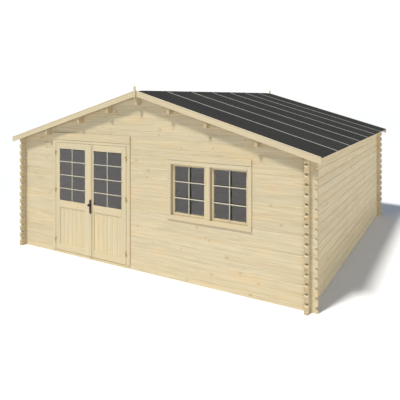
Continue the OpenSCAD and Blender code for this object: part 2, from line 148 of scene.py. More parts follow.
def inset(poly, c):
    poly = [np.asarray(p, float) for p in poly]
    out = []
    for i in range(len(poly)):
        p0, p1, p2 = poly[i - 1], poly[i], poly[(i + 1) % len(poly)]
        e1, e2 = unit(p1 - p0), unit(p2 - p1)
        n1, n2 = np.array([-e1[1], e1[0]]), np.array([-e2[1], e2[0]])
        out.append(p1 + (n1 + n2) * (c / (1 + n1 @ n2)))
    return out


def plate(pc, poly, o, a, b, n, t, c=1.5, **kw):
    """An outline (counter-clockwise in a, b) of thickness t along n, with both rims chamfered."""
    o, a, b, n = (np.asarray(x, float) for x in (o, a, b, n))
    small, k = inset(poly, c), len(poly)
    verts = []
    for ring, h in ((small, 0.0), (poly, c), (poly, t - c), (small, t)):
        verts += [o + a * p[0] + b * p[1] + n * h for p in ring]
    faces = [list(range(k))[::-1], [3 * k + i for i in range(k)]]
    for r in range(3):
        for i in range(k):
            j = (i + 1) % k
            faces.append([r * k + i, r * k + j, (r + 1) * k + j, (r + 1) * k + i])
    return pc.add(verts, faces, **kw)


AXES = {"x": ("y", "z"), "y": ("z", "x"), "z": ("x", "y")}
UNIT = {"x": (1, 0, 0), "y": (0, 1, 0), "z": (0, 0, 1)}


def board(pc, lo, hi, grain, thick, c=1.5, **kw):
    """A board between two corners. grain and thick name the axes it runs along and is thin along."""
    ix = "xyz".index
    a, b = AXES[thick]
    la, lb, lt = hi[ix(a)] - lo[ix(a)], hi[ix(b)] - lo[ix(b)], hi[ix(thick)] - lo[ix(thick)]
    side = [k for k in "xyz" if k not in (grain, thick)]
    side = side[0] if side else a
    return plate(pc, [(0, 0), (la, 0), (la, lb), (0, lb)], lo, UNIT[a], UNIT[b], UNIT[thick], lt, c,
                 grain=UNIT[grain], side=UNIT[side], **kw)


def prism(pc, prof, o, u, v, w, length, c=0.0, **kw):
    """An outline (counter-clockwise in v, w, with u = v x w) drawn out along u, its ends chamfered by c."""
    o, u, v, w = (np.asarray(x, float) for x in (o, u, v, w))
    k = len(prof)
    rings = [(prof, 0.0), (prof, length)] if c <= 0 else [
        (inset(prof, c), 0.0), (prof, c), (prof, length - c), (inset(prof, c), length)]
    verts = []
    for ring, h in rings:
        verts += [o + v * p[0] + w * p[1] + u * h for p in ring]
    m = len(rings) - 1
    faces = [list(range(k))[::-1], [m * k + i for i in range(k)]]
    for r in range(m):
        for i in range(k):
            j = (i + 1) % k
            faces.append([r * k + i, r * k + j, (r + 1) * k + j, (r + 1) * k + i])
    kw.setdefault("grain", u)
    kw.setdefault("side", v)
    return pc.add(verts, faces, **kw)


def lathe(pc, prof, o, axis, segs=40, **kw):
    """A turned shape: (radius, height) points from the axis out and back to it."""
    o, ax = np.asarray(o, float), unit(axis)
    e1 = unit(np.cross(ax, (0.31, 0.77, 0.55)))
    e2 = np.cross(ax, e1)
    verts, rows = [], []
    for r, h in prof:
        if r < 1e-6:
            rows.append([len(verts)])
            verts.append(o + ax * h)
        else:
            rows.append(list(range(len(verts), len(verts) + segs)))
            verts += [o + ax * h + (e1 * math.cos(t) + e2 * math.sin(t)) * r
                      for t in (2 * math.pi * i / segs for i in range(segs))]
    faces = []
    for r0, r1 in zip(rows, rows[1:]):
        for i in range(segs):
            j = (i + 1) % segs
            if len(r0) == 1:
                faces.append([r0[0], r1[j], r1[i]])
            elif len(r1) == 1:
                faces.append([r0[i], r0[j], r1[0]])
            else:
                faces.append([r0[i], r0[j], r1[j], r1[i]])
    kw.setdefault("smooth", True)
    return pc.add(verts, faces, grain=ax, side=e1, **kw)


def arc(cx, cy, r, a0, a1, n):
    return [(cx + r * math.cos(math.radians(a0 + (a1 - a0) * i / n)),
             cy + r * math.sin(math.radians(a0 + (a1 - a0) * i / n))) for i in range(n + 1)]


# ---- shader tools ----------------------------------------------------------------
class Tree:
    def __init__(self, tree):
        self.t, self.x = tree, 0

    def node(self, kind, **props):
        n = self.t.nodes.new(kind)
        for k, v in props.items():
            setattr(n, k, v)
        n.location = (self.x, -(self.x // 40 % 7) * 120)
        self.x += 60
        return n

    def put(self, sock, val):
        if isinstance(val, bpy.types.NodeSocket):
            self.t.links.new(val, sock)
        elif val is not None:
            sock.default_value = val

    def math(self, op, a, b=None, c=None, clamp=False):
        n = self.node("ShaderNodeMath", operation=op, use_clamp=clamp)
        for s, x in zip(n.inputs, (a, b, c)):
            self.put(s, x)
        return n.outputs[0]

    def vec(self, op, a, b=None):
        n = self.node("ShaderNodeVectorMath", operation=op)
        self.put(n.inputs[0], a)
        self.put(n.inputs[1], b)
        return n.outputs["Value"] if op in ("LENGTH", "DOT_PRODUCT") else n.outputs["Vector"]

    def xyz(self, v):
        n = self.node("ShaderNodeSeparateXYZ")
        self.put(n.inputs[0], v)
        return n.outputs

    def join(self, x, y, z):
        n = self.node("ShaderNodeCombineXYZ")
        for s, q in zip(n.inputs, (x, y, z)):
            self.put(s, q)
        return n.outputs[0]

    def noise(self, v, scale=1.0, detail=2.0, rough=0.5):
        n = self.node("ShaderNodeTexNoise")
        self.put(n.inputs["Vector"], v)
        n.inputs["Scale"].default_value = scale
        n.inputs["Detail"].default_value = detail
        n.inputs["Roughness"].default_value = rough
        return n.outputs["Fac"] if "Fac" in n.outputs else n.outputs[0], n.outputs["Color"]

    def step(self, x, lo, hi, a=0.0, b=1.0):
        n = self.node("ShaderNodeMapRange", interpolation_type="SMOOTHSTEP")
        for s, q in zip(n.inputs, (x, lo, hi, a, b)):
            self.put(s, q)
        return n.outputs[0]

    def mix(self, fac, a, b, blend="MIX"):
        n = self.node("ShaderNodeMix", data_type="RGBA", blend_type=blend)
        self.put(n.inputs[0], fac)
        self.put(n.inputs[6], a)
        self.put(n.inputs[7], b)
        return n.outputs[2]

    def white(self, w):
        n = self.node("ShaderNodeTexWhiteNoise", noise_dimensions="1D")
        self.put(n.inputs["W"], w)
        s = self.node("ShaderNodeSeparateColor")
        self.put(s.inputs[0], n.outputs["Color"])
        return s.outputs

    def attr(self, name, kind="Fac"):
        n = self.node("ShaderNodeAttribute", attribute_type="GEOMETRY", attribute_name=name)
        return n.outputs[kind]


def col(r, g, b):
    return (r, g, b, 1.0)


def spruce_group():
    """Planed spruce. In: grain coordinates in metres (along, across, through), a random number per board, end-grain mask."""
    g = bpy.data.node_groups.new("spruce", "ShaderNodeTree")
    for name, kind, val in (("Grain", "NodeSocketVector", None), ("Board", "NodeSocketFloat", 0.5),
                            ("End", "NodeSocketFloat", 0.0), ("Light", "NodeSocketColor", col(.7, .58, .38)),
                            ("Dark", "NodeSocketColor", col(.55, .42, .24)), ("Knots", "NodeSocketFloat", 1.0),
                            ("Vary", "NodeSocketFloat", 0.12)):
        s = g.interface.new_socket(name=name, in_out="INPUT", socket_type=kind)
        if val is not None:
            s.default_value = val
    for name, kind in (("Color", "NodeSocketColor"), ("Roughness", "NodeSocketFloat"), ("Height", "NodeSocketFloat")):
        g.interface.new_socket(name=name, in_out="OUTPUT", socket_type=kind)
    t = Tree(g)
    gin, gout = t.node("NodeGroupInput"), t.node("NodeGroupOutput")
    I = gin.outputs
    a, b, c = list(t.white(I["Board"]))[:3]
    d, e, f = list(t.white(t.math("ADD", I["Board"], 7.77)))[:3]
    u, v, w = list(t.xyz(I["Grain"]))[:3]
    P = t.vec("ADD", I["Grain"], t.join(t.math("MULTIPLY", a, 31.0), t.math("MULTIPLY", b, 17.0), t.math("MULTIPLY", c, 23.0)))
    # knots: one feature point per cell, true distance in metres
    cell = (0.46, 0.115, 0.9)
    K = t.vec("DIVIDE", P, cell)
    vor = t.node("ShaderNodeTexVoronoi", voronoi_dimensions="3D", feature="F1")
    t.put(vor.inputs["Vector"], K)
    vor.inputs["Scale"].default_value = 1.0
    vor.inputs["Randomness"].default_value = 0.9
    dk = t.vec("MULTIPLY", t.vec("SUBTRACT", K, vor.outputs["Position"]), (cell[0] * 0.8, cell[1], 0.0))
    wob = t.noise(P, 90.0, 1.0)[0]
    kd = t.math("ADD", t.vec("LENGTH", dk), t.math("MULTIPLY", t.math("SUBTRACT", wob, 0.5), 0.004))
    kc = t.node("ShaderNodeSeparateColor")
    t.put(kc.inputs[0], vor.outputs["Color"])
    rk = t.math("MULTIPLY_ADD", kc.outputs[0], 0.007, 0.0040)
    there = t.math("MULTIPLY", t.math("GREATER_THAN", kc.outputs[1], 0.70), I["Knots"])
    q = t.math("DIVIDE", kd, rk)
    knot = t.math("MULTIPLY", there, t.step(q, 0.7, 1.15, 1.0, 0.0))
    core = t.math("MULTIPLY", there, t.step(q, 0.1, 0.75, 1.0, 0.0))
    halo = t.math("MULTIPLY", there, t.step(q, 0.9, 4.6, 1.0, 0.0))
    # year rings round a pith that lies off the board
    wx, wy, wz = list(t.xyz(t.vec("SUBTRACT", t.noise(t.vec("MULTIPLY", P, (1.2, 8.0, 8.0)), 1.0, 2.0)[1], (0.5, 0.5, 0.5))))[:3]
    pv = t.math("ADD", t.math("MULTIPLY_ADD", t.math("SUBTRACT", d, 0.5), 0.15, v), t.math("MULTIPLY", wy, 0.022))
    pw = t.math("ADD", t.math("MULTIPLY_ADD", e, 0.11, w), t.math("MULTIPLY_ADD", wz, 0.022, 0.034))
    pw = t.math("ADD", pw, t.math("MULTIPLY", halo, 0.007))
    r = t.math("SQRT", t.math("ADD", t.math("MULTIPLY", pv, pv), t.math("MULTIPLY", pw, pw)))
    ring = t.math("FRACT", t.math("DIVIDE", r, t.math("MULTIPLY_ADD", f, 0.0018, 0.0036)))
    late = t.math("MULTIPLY", t.step(ring, 0.35, 0.92), t.step(ring, 0.94, 1.0, 1.0, 0.0))
    # streaks along the grain, from broad bands to fibres
    s1 = t.noise(t.vec("MULTIPLY", P, (2.2, 84.0, 84.0)), 1.0, 3.0, 0.6)[0]
    s2 = t.noise(t.vec("MULTIPLY", P, (0.8, 32.0, 32.0)), 1.0, 2.0)[0]
    s3 = t.noise(t.vec("MULTIPLY", P, (9.0, 520.0, 520.0)), 1.0, 2.0)[0]
    patch = t.noise(t.vec("MULTIPLY", P, (2.1, 5.0, 5.0)), 1.0, 2.0)[0]
    k = t.math("MULTIPLY", late, 0.30)
    k = t.math("ADD", k, t.math("MULTIPLY", t.step(s1, 0.36, 0.68), 0.46))
    k = t.math("ADD", k, t.math("MULTIPLY", t.step(s2, 0.30, 0.75), 0.30))
    k = t.math("ADD", k, t.math("MULTIPLY", t.math("SUBTRACT", s3, 0.5), 0.22))
    k = t.math("ADD", k, t.math("MULTIPLY", halo, 0.28), clamp=True)
    base = t.mix(k, I["Light"], I["Dark"])
    # warm and pinkish patches, board to board tone
    pink = t.math("MULTIPLY", t.step(patch, 0.45, 0.72), t.math("MULTIPLY_ADD", c, 0.7, 0.25))
    base = t.mix(pink, base, t.mix(1.0, base, col(1.03, 0.95, 0.88), "MULTIPLY"))
    tone = t.math("MULTIPLY_ADD", t.math("SUBTRACT", b, 0.5), I["Vary"], 1.0)
    tone = t.math("MULTIPLY", tone, t.math("MULTIPLY_ADD", t.math("SUBTRACT", patch, 0.5), 0.16, 1.0))
    base = t.mix(1.0, base, t.join(tone, t.math("MULTIPLY_ADD", t.math("SUBTRACT", a, 0.5), -0.03, tone),
                                   t.math("MULTIPLY_ADD", t.math("SUBTRACT", a, 0.5), -0.10, tone)), "MULTIPLY")
    base = t.mix(t.math("MULTIPLY", halo, 0.35), base, t.mix(1.0, base, col(0.92, 0.78, 0.60), "MULTIPLY"))
    base = t.mix(t.math("MULTIPLY", knot, 0.58), base, t.mix(core, col(0.23, 0.115, 0.045), col(0.34, 0.19, 0.085)))
    base = t.mix(I["End"], base, t.mix(1.0, base, col(0.86, 0.81, 0.74), "MULTIPLY"))
    t.put(gout.inputs["Color"], base)
    t.put(gout.inputs["Roughness"], t.math("MULTIPLY_ADD", s3, 0.22, t.math("MULTIPLY_ADD", knot, -0.15, 0.50)))
    h = t.math("MULTIPLY_ADD", late, 0.35, t.math("MULTIPLY", s3, 0.45))
    t.put(gout.inputs["Height"], t.math("ADD", h, t.math("MULTIPLY", knot, 0.35)))
    return g


SPRUCE = spruce_group()


def wood(name, light, dark, source, knots=1.0, vary=0.12, bump=0.22, edges=(1.0, 1.0)):
    """source(tree) gives (grain vector, board number, end mask), for logs also masks of the top and bottom arris of
    each course; edges are factors on these masks that lighten or darken the arrises as painted highlight and painted
    shade.
    """
    m = bpy.data.materials.new(name)
    m.use_nodes = True
    nt = m.node_tree
    nt.nodes.clear()
    t = Tree(nt)
    out, bsdf = t.node("ShaderNodeOutputMaterial"), t.node("ShaderNodeBsdfPrincipled")
    grp = t.node("ShaderNodeGroup")
    grp.node_tree = SPRUCE
    gc, bd, end, *arris = source(t)
    t.put(grp.inputs["Grain"], gc)
    t.put(grp.inputs["Board"], bd)
    t.put(grp.inputs["End"], end)
    grp.inputs["Light"].default_value = col(*light)
    grp.inputs["Dark"].default_value = col(*dark)
    grp.inputs["Knots"].default_value = knots
    grp.inputs["Vary"].default_value = vary
    bp = t.node("ShaderNodeBump")
    bp.inputs["Strength"].default_value = bump
    bp.inputs["Distance"].default_value = 0.0007
    t.put(bp.inputs["Height"], grp.outputs["Height"])
    colour = grp.outputs["Color"]
    for mask, k in zip(arris, edges):   # the arrises along a log's joints: the factors in edges paint a highlight (above 1) or shade (below 1) onto them
        colour = t.mix(mask, colour, t.mix(1.0, colour, col(k, k, k), "MULTIPLY"))
    t.put(bsdf.inputs["Base Color"], colour)
    t.put(bsdf.inputs["Roughness"], grp.outputs["Roughness"])
    t.put(bsdf.inputs["Normal"], bp.outputs["Normal"])
    bsdf.inputs["Specular IOR Level"].default_value = 0.28
    t.put(out.inputs["Surface"], bsdf.outputs[0])
    return m


def from_board(t):
    return t.attr("gc", "Vector"), t.attr("rnd"), t.attr("end")


def log_source(axis, z_off, y_mid, seed):
    """Grain of a stack of logs: one board number for each course, counted up from z_off."""
    def src(t):
        tc = t.node("ShaderNodeTexCoord")
        x, y, z = list(t.xyz(tc.outputs["Object"]))[:3]
        course = t.math("DIVIDE", t.math("SUBTRACT", z, z_off), LOG_H * MM)
        num = t.math("FLOOR", course)
        across = t.math("MULTIPLY", t.math("SUBTRACT", t.math("FRACT", course), 0.5), LOG_H * MM)
        nx, ny, nz = list(t.xyz(tc.outputs["Normal"]))[:3]
        along, thru, ne = (x, y, nx) if axis == "x" else (y, x, ny)
        gc = t.join(along, across, t.math("SUBTRACT", thru, y_mid * MM))
        end = t.step(t.math("ABSOLUTE", ne), 0.6, 0.9)
        # masks of the top and bottom arris of each course, used in wood() for painted highlight and painted shade
        upper_arris_highlight_and_shade = t.step(across, 0.0515, 0.0575)
        lower_arris_shade = t.step(across, -0.0585, -0.0535, 1.0, 0.0)
        return gc, t.math("MULTIPLY_ADD", num, 1.618, seed), end, upper_arris_highlight_and_shade, lower_arris_shade
    return src


LIGHT, DARK = (0.635, 0.549, 0.371), (0.488, 0.394, 0.233)
LOGS = {
    "front_logs_left": ("x", 0.06, -HD + 22, 3.1), "front_logs_under_window": ("x", 0.06, -HD + 22, 57.2),
    "front_logs_pier": ("x", 0.06, -HD + 22, 111.3), "front_logs_right": ("x", 0.06, -HD + 22, 163.4),
    "front_logs_over_window": ("x", 0.06, -HD + 22, 219.5), "front_gable_logs": ("x", 0.06, -HD + 22, 277.6),
    "back_wall_logs": ("x", 0.06, HD - 22, 331.7), "back_gable_logs": ("x", 0.06, HD - 22, 387.8),
    "left_wall_logs": ("y", 0.0, -HW + 22, 441.9), "right_wall_logs": ("y", 0.0, HW - 22, 503.2),
}
for node, spec in LOGS.items():
    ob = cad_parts[node]
    ob.data.materials.clear()
    # edges: on the walls along x the top arris is lightened 1.2x, a painted highlight of sunlit chamfers; on the walls
    # along y the bottom arris is darkened 0.83x, painted shade in the joints
    ob.data.materials.append(wood("wood_" + node, LIGHT, DARK, log_source(*spec), 0.75, 0.06,
                                  edges=(1.20, 0.98) if spec[0] == "x" else (0.98, 0.83)))

TRIM = wood("trim_spruce", (0.620, 0.534, 0.358), (0.525, 0.424, 0.260), from_board, 0.4, 0.05)
JOIN = wood("joinery_spruce", (0.631, 0.548, 0.366), (0.538, 0.442, 0.271), from_board, 0.4, 0.05)
PANEL = wood("panel_spruce", (0.637, 0.546, 0.355), (0.540, 0.436, 0.258), from_board, 0.6, 0.07)
ROOFW = wood("roof_spruce", (0.620, 0.536, 0.364), (0.518, 0.419, 0.257), from_board, 0.9, 0.12)
# paler than the other trim: a painted highlight for the lit top edges of the verge strips and eave fascia
STRIP_HIGHLIGHT_WOOD = wood("strip_spruce_painted_highlight", (0.715, 0.653, 0.503), (0.636, 0.557, 0.397), from_board, 0.2, 0.04)
BARS = wood("bar_spruce", (0.560, 0.520, 0.420), (0.508, 0.458, 0.350), from_board, 0.0, 0.03)


def felt_material():
    m = bpy.data.materials.new("mineral_felt")
    m.use_nodes = True
    nt = m.node_tree
    nt.nodes.clear()
    t = Tree(nt)
    out, bsdf = t.node("ShaderNodeOutputMaterial"), t.node("ShaderNodeBsdfPrincipled")
    P = t.node("ShaderNodeTexCoord").outputs["Object"]
    grain = t.node("ShaderNodeTexVoronoi", voronoi_dimensions="3D", feature="F1")
    t.put(grain.inputs["Vector"], P)
    grain.inputs["Scale"].default_value = 520.0
    g = t.node("ShaderNodeSeparateColor")
    t.put(g.inputs[0], grain.outputs["Color"])
    mid = t.noise(P, 60.0, 3.0, 0.6)[0]
    broad = t.noise(t.vec("MULTIPLY", P, (1.2, 2.6, 1.2)), 1.0, 3.0, 0.55)[0]
    streak = t.noise(t.vec("MULTIPLY", P, (0.5, 26.0, 0.5)), 1.0, 2.0)[0]
    strip = list(t.white(t.attr("rnd")))[0]
    k = t.math("MULTIPLY_ADD", g.outputs[0], 0.45, t.math("MULTIPLY", mid, 0.35))
    k = t.math("ADD", k, t.math("MULTIPLY", t.math("SUBTRACT", broad, 0.5), 0.50))
    k = t.math("ADD", k, t.math("MULTIPLY", t.math("SUBTRACT", streak, 0.5), 0.22))
    k = t.math("ADD", k, t.math("MULTIPLY", t.math("SUBTRACT", strip, 0.5), 0.18), clamp=True)
    base = t.mix(k, col(0.0194, 0.0189, 0.0170), col(0.0608, 0.0582, 0.0505))
    lap = t.attr("mark")
    edge = t.math("MULTIPLY", t.step(lap, 0.35, 0.65), t.math("MULTIPLY_ADD", mid, 0.5, 0.62))
    base = t.mix(edge, base, col(0.56, 0.535, 0.475))
    t.put(bsdf.inputs["Base Color"], base)
    t.put(bsdf.inputs["Roughness"], t.math("MULTIPLY_ADD", g.outputs[1], 0.12, 0.80))
    bp = t.node("ShaderNodeBump")
    bp.inputs["Strength"].default_value = 0.45
    bp.inputs["Distance"].default_value = 0.0009
    t.put(bp.inputs["Height"], t.math("MULTIPLY_ADD", g.outputs[0], 0.6, mid))
    t.put(bsdf.inputs["Normal"], bp.outputs["Normal"])
    bsdf.inputs["Specular IOR Level"].default_value = 0.2
    t.put(out.inputs["Surface"], bsdf.outputs[0])
    return m


def metal_material(name, a, b, rough, metallic):
    m = bpy.data.materials.new(name)
    m.use_nodes = True
    nt = m.node_tree
    nt.nodes.clear()
    t = Tree(nt)
    out, bsdf = t.node("ShaderNodeOutputMaterial"), t.node("ShaderNodeBsdfPrincipled")
    P = t.node("ShaderNodeTexCoord").outputs["Object"]
    n1 = t.noise(P, 160.0, 4.0, 0.6)[0]
    n2 = t.noise(P, 900.0, 2.0)[0]
    t.put(bsdf.inputs["Base Color"], t.mix(t.step(n1, 0.35, 0.7), col(*a), col(*b)))
    t.put(bsdf.inputs["Roughness"], t.math("MULTIPLY_ADD", n1, 0.2, rough))
    bsdf.inputs["Metallic"].default_value = metallic
    bp = t.node("ShaderNodeBump")
    bp.inputs["Strength"].default_value = 0.12
    bp.inputs["Distance"].default_value = 0.0003
    t.put(bp.inputs["Height"], n2)
    t.put(bsdf.inputs["Normal"], bp.outputs["Normal"])
    t.put(out.inputs["Surface"], bsdf.outputs[0])
    return m


def glass_material():
    m = bpy.data.materials.new("window_glass_tint")
    m.use_nodes = True
    nt = m.node_tree
    nt.nodes.clear()
    t = Tree(nt)
    out, bsdf = t.node("ShaderNodeOutputMaterial"), t.node("ShaderNodeBsdfPrincipled")
    P = t.node("ShaderNodeTexCoord").outputs["Object"]
    n = t.noise(P, 3.0, 2.0)[0]
    t.put(bsdf.inputs["Base Color"], t.mix(n, col(0.74, 0.735, 0.73), col(0.80, 0.795, 0.79)))
    bsdf.inputs["Transmission Weight"].default_value = 1.0
    bsdf.inputs["Roughness"].default_value = 0.015
    bsdf.inputs["IOR"].default_value = 1.68
    bsdf.inputs["Specular Tint"].default_value = col(1.0, 0.95, 0.91)
    t.put(out.inputs["Surface"], bsdf.outputs[0])
    return m


FELT = felt_material()
GLASS = glass_material()
HINGE = metal_material("hinge_yellow_steel", (0.430, 0.320, 0.150), (0.550, 0.415, 0.205), 0.42, 0.30)
LOCK = metal_material("lock_dark_brown", (0.030, 0.016, 0.013), (0.050, 0.029, 0.024), 0.36, 0.35)
# near-black: painted shade for the keyholes
KEYHOLE_SHADE = metal_material("keyhole_painted_shade", (0.004, 0.004, 0.004), (0.008, 0.007, 0.007), 0.6, 0.0)


# ---- roof ---------------------------------------------------------------------
for s, nm in ((-1, "roof_boards_left"), (1, "roof_boards_right")):
    pc = Piece(nm + "_planks")
    half = YE - BARGE_T - LAY
    count = 56
    wid = 2 * half / count
    x0, x1 = 6.0, XE - 6 - BARGE_T - LAY
    u = np.array([s * CS, 0, -SN])
    up = np.array([s * SN, 0, CS])
    v = np.cross(up, u)
    for i in range(count):
        h = wid / 2 - 0.25
        prof = [(-h + 3, -DECK_T), (h - 3, -DECK_T), (h, -DECK_T + 3), (h, -0.6), (h - 0.6, 0), (-h + 0.6, 0), (-h, -0.6), (-h, -DECK_T + 3)]
        prism(pc, prof, (s * x0, -half + wid * (i + 0.5), Z_DECK - SL * x0), u, v, up, (x1 - x0) / CS, 0.5)
    pc.make("shed", "roof_wood", ROOFW, nm)


LAPS = [-HD + y for y in (664.0, 1424.0, 2184.0, 2944.0, 3704.0, 4464.0)]


def felt_roof():
    """Seven strips of felt over the ridge from eave to eave, each lying on the one in front of it at its lap."""
    pc = Piece("felt_strips")
    end = YE - BARGE_T - LAY
    edges = [-end] + LAPS + [end]
    side = [0, 4, 9, 16, 26, 40, 60, 90, 140, 220] + list(np.linspace(300, XE - 12, 26)) + [XE - 6, XE - 2.5, XE - 0.6]
    xs = np.array([-x for x in side[::-1]] + side[1:])
    t = 3.2
    for k in range(7):
        y0, y1 = edges[k], edges[k + 1]
        back = y1 + (62.0 if k < 6 else 0.0)
        ys = [y0, y0 + 2, y0 + 20, y0 + 24, y0 + 45, y0 + 70, y0 + 90, y0 + 115, y0 + 145]
        ys += list(np.linspace(y0 + 200, back - 40, 9)) + [back - 18, back]
        ys = np.array(ys)
        mark_y = (ys <= y0 + 21) & (k > 0)
        rise = np.zeros(len(ys))
        if k > 0:
            rise = (t + 0.5) * np.clip(1 - (ys - y0 - 66) / 62.0, 0, 1)
        top, bot = [], []
        for j, y in enumerate(ys):
            near_end = min(1.0, max(0.0, (YE - 50 - abs(y)) / 120.0))
            for x in xs:
                ax = abs(x)
                z = Z_DECK + LAY + 0.1 - SL * ax
                fold = max(0.0, 1 - ax / 34.0)
                z -= SL * 17.0 * fold * fold                          # the crest is a fold, not a knife edge
                hump = 11.0 * near_end * (0.5 + 0.5 * math.cos(math.pi * min(1.0, ax / 150.0)))
                wave = 0.45 * near_end * math.sin(y * 0.0121 + 2.1 * k) * math.sin(x * 0.0089 + 1.3 * k)
                curl = 0.0 if ax < XE - 8 else 7.0 * ((ax - (XE - 8)) / 8.0) ** 1.6
                z += rise[j] + hump + wave * (0.0 if ax > XE - 60 else 1.0) - curl
                bot.append((x, y, z))
                top.append((x, y, z + t / CS))
        nx, ny = len(xs), len(ys)
        verts = bot + top
        N = nx * ny
        faces = []
        for j in range(ny - 1):
            for i in range(nx - 1):
                p = j * nx + i
                faces.append([p, p + nx, p + nx + 1, p + 1])
                faces.append([N + p, N + p + 1, N + p + nx + 1, N + p + nx])
        for i in range(nx - 1):
            faces.append([i, i + 1, N + i + 1, N + i])
            p = (ny - 1) * nx + i
            faces.append([p + 1, p, N + p, N + p + 1])
        for j in range(ny - 1):
            p = j * nx
            faces.append([p + nx, p, N + p, N + p + nx])
            p = j * nx + nx - 1
            faces.append([p, p + nx, N + p + nx, N + p])
        mark = [float(m) for m in mark_y for _ in range(nx)] * 2
        pc.add(verts, faces, grain=(1, 0, 0), side=(0, 1, 0), mark=mark, smooth=True)
    return pc.make("shed", "felt", FELT, "felt_left", "felt_right", sharp=40)


felt_roof()


def slope_plate(pc, side, za, zb, y0, y1, x1, c=1.5, x0=0.3):
    """A board along a verge between apex heights za and zb, with plumb ends."""
    poly = [(x0, za - SL * x0), (x1, za - SL * x1), (x1, zb - SL * x1), (x0, zb - SL * x0)]
    if side > 0:
        # seen along +y: x to the left of z, so a = z, b = x keeps the outline right-handed about +y
        poly = [(p[1], p[0]) for p in poly][::-1]
    else:
        poly = [(p[1], -p[0]) for p in poly]
    plate(pc, poly, (0, y0, 0), (0, 0, 1), (1, 0, 0), (0, 1, 0), y1 - y0, c,
          grain=(side * CS, 0, -SN), side=(side * SN, 0, CS))


pc = Piece("bargeboard_planks")
for s in (-1, 1):
    for y0, y1 in ((-YE, -YE + BARGE_T), (YE - BARGE_T, YE)):
        slope_plate(pc, s, Z_FELT - LAY - BARGE_H / CS, Z_FELT - LAY, y0, y1, XE - BARGE_IN, 2.0)
pc.make("shed", "trim_wood", TRIM, "bargeboards")

pc = Piece("verge_cover_strips")
for s in (-1, 1):
    for y0, y1 in ((-YE - STRIP_OUT, -YE - STRIP_OUT + STRIP_W), (YE + STRIP_OUT - STRIP_W, YE + STRIP_OUT)):
        slope_plate(pc, s, Z_FELT, Z_STRIP, y0, y1, XE - BARGE_IN, 1.2)
pc.make("shed", "trim_wood", STRIP_HIGHLIGHT_WOOD, "verge_strips")

pc = Piece("eave_fascia")
half = YE - BARGE_T - LAY
for s in (-1, 1):
    xa, xb = XE - 6 - BARGE_T, XE - 6
    zb = Z_DECK - SL * xa - EAVE_H
    c = 2.0
    # outline in (z, x), drawn out along y
    pr = [(zb, xa + c), (zb + c, xa), (Z_DECK - SL * xa, xa), (Z_DECK - SL * xb, xb), (zb + c, xb), (zb, xb - c)]
    pr = [(p[0], s * p[1]) for p in pr]
    if s > 0:
        pr = pr[::-1]
    area = sum(p[0] * q[1] - q[0] * p[1] for p, q in zip(pr, pr[1:] + pr[:1]))
    if area < 0:
        pr = pr[::-1]
    prism(pc, pr, (0, -half, 0), (0, 1, 0), (0, 0, 1), (1, 0, 0), 2 * half, 1.0)
pc.make("shed", "trim_wood", STRIP_HIGHLIGHT_WOOD, "eave_boards")

pc = Piece("ridge_finials")
outline = [(Z_STRIP + h, x) for h, x in ((-123, 0), (-95, 18), (44, 18), (72, 0), (44, -18), (-95, -18))]
for y0 in (-YE - STRIP_OUT - 16, YE + STRIP_OUT):
    area = sum(p[0] * q[1] - q[0] * p[1] for p, q in zip(outline, outline[1:] + outline[:1]))
    plate(pc, outline if area > 0 else outline[::-1], (0, y0, 0), (0, 0, 1), (1, 0, 0), (0, 1, 0), 16.0, 2.2,
          grain=(0, 0, 1), side=(1, 0, 0))
pc.make("shed", "trim_wood", TRIM, "finials")


def purlin(pc, x, depth):
    half = YE - BARGE_T - LAY
    zb = Z_UNDER - SL * abs(x) - depth
    a, b, c = x - PURLIN_W / 2, x + PURLIN_W / 2, 4.0
    top = lambda q: Z_UNDER - LAY - SL * abs(q)
    pr = [(zb, a + c), (zb + c, a), (top(a), a)]
    if a < 0 < b:
        pr.append((top(0), 0.0))
    pr += [(top(b), b), (zb + c, b), (zb, b - c)]
    area = sum(p[0] * q[1] - q[0] * p[1] for p, q in zip(pr, pr[1:] + pr[:1]))
    prism(pc, pr if area > 0 else pr[::-1], (0, -half, 0), (0, 1, 0), (0, 0, 1), (1, 0, 0), 2 * half, 1.5)


pc = Piece("side_purlin_beams")
for x in PURLIN_X:
    purlin(pc, x, PURLIN_H)
pc.make("shed", "roof_wood", ROOFW, "purlins")
pc = Piece("ridge_purlin_beam")
purlin(pc, 0.0, RIDGE_H)
pc.make("shed", "roof_wood", ROOFW, "ridge_purlin")

# ---- door frame ------------------------------------------------------------------
pc = Piece("door_frame_jambs")
z0, z1 = 46.5, HEAD_Z0 - 0.3
for s, j in ((-1, JL), (1, JR)):
    pr = [(j + s * JT, YF + 0.5), (j, YF + 0.5), (j, STOP_Y), (j - s * 20, STOP_Y), (j - s * 20, FRAME_YB - 2), (j - s * 18, FRAME_YB), (j + s * JT, FRAME_YB)]
    if s > 0:
        pr = pr[::-1]
    prism(pc, pr, (0, 0, z0), (0, 0, 1), (1, 0, 0), (0, 1, 0), z1 - z0, 0.8)
pc.make("shed", "frame_wood", JOIN, "door_jambs")

pc = Piece("door_frame_head")
board(pc, (JL + 0.5, LEAF_Y, HEAD_Z0), (JR - 0.5, YF + 0.4, HEAD_Z1), "x", "z", 1.5)
board(pc, (JL - JT, YF + 0.5, HEAD_Z0), (JR + JT, FRAME_YB, HEAD_Z1), "x", "z", 1.5)
board(pc, (JL + 20.5, STOP_Y, HEAD_Z0 - 20), (JR - 20.5, FRAME_YB, HEAD_Z0 - 0.1), "x", "y", 1.5)
board(pc, (JL + 2, LEAF_Y + 3, HEAD_Z0 - 3.9), (JR - 2, LEAF_YB - 3, HEAD_Z0 - 0.1), "x", "z", 0.6)   # lipping over the leaves
pc.make("shed", "frame_wood", JOIN, "door_head")

